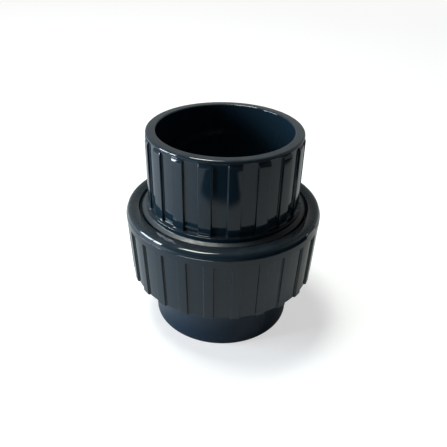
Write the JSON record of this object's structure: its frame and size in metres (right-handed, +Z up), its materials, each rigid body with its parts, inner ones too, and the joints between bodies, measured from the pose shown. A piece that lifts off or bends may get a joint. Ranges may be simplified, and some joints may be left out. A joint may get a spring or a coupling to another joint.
{
  "type": "pvc pipe union",
  "caption": "Solvent-socket pipe union: plain threaded lower body, ribbed upper end with a trapped flange, ribbed union nut and O-ring face seal.",
  "frame": {"origin": "centre of the lower socket's mouth, on the surface that the union stands on", "axes": "+Z up along the pipe axis, from the lower socket to the upper one"},
  "size_m": [0.0952, 0.0952, 0.101],
  "materials": {
    "pvc_body": "dark blue-grey moulded PVC-U, dull",
    "pvc_gloss": "dark blue-grey moulded PVC-U, polished mould finish",
    "seal_rubber": "black EPDM rubber"
  },
  "bodies": {
    "lower_body": {"union_body": "pvc_body", "o_ring": "seal_rubber"},
    "upper_end": {"tailpiece": "pvc_gloss"},
    "nut": {"union_nut": "pvc_gloss"}
  },
  "joints": [
    {"name": "end_lift", "type": "slide", "parent": "lower_body", "child": "upper_end", "axis": [0, 0, 1], "range_m": [0, 0.018]},
    {"name": "nut_turn", "type": "hinge", "parent": "upper_end", "child": "nut", "pos_m": [0, 0, 0.045], "axis": [0, 0, 1], "range_deg": [0, 2160]}
  ],
  "couplings": [
    {"joint": "end_lift", "follows": "nut_turn", "m_per_rad": 0.00047746}
  ]
}
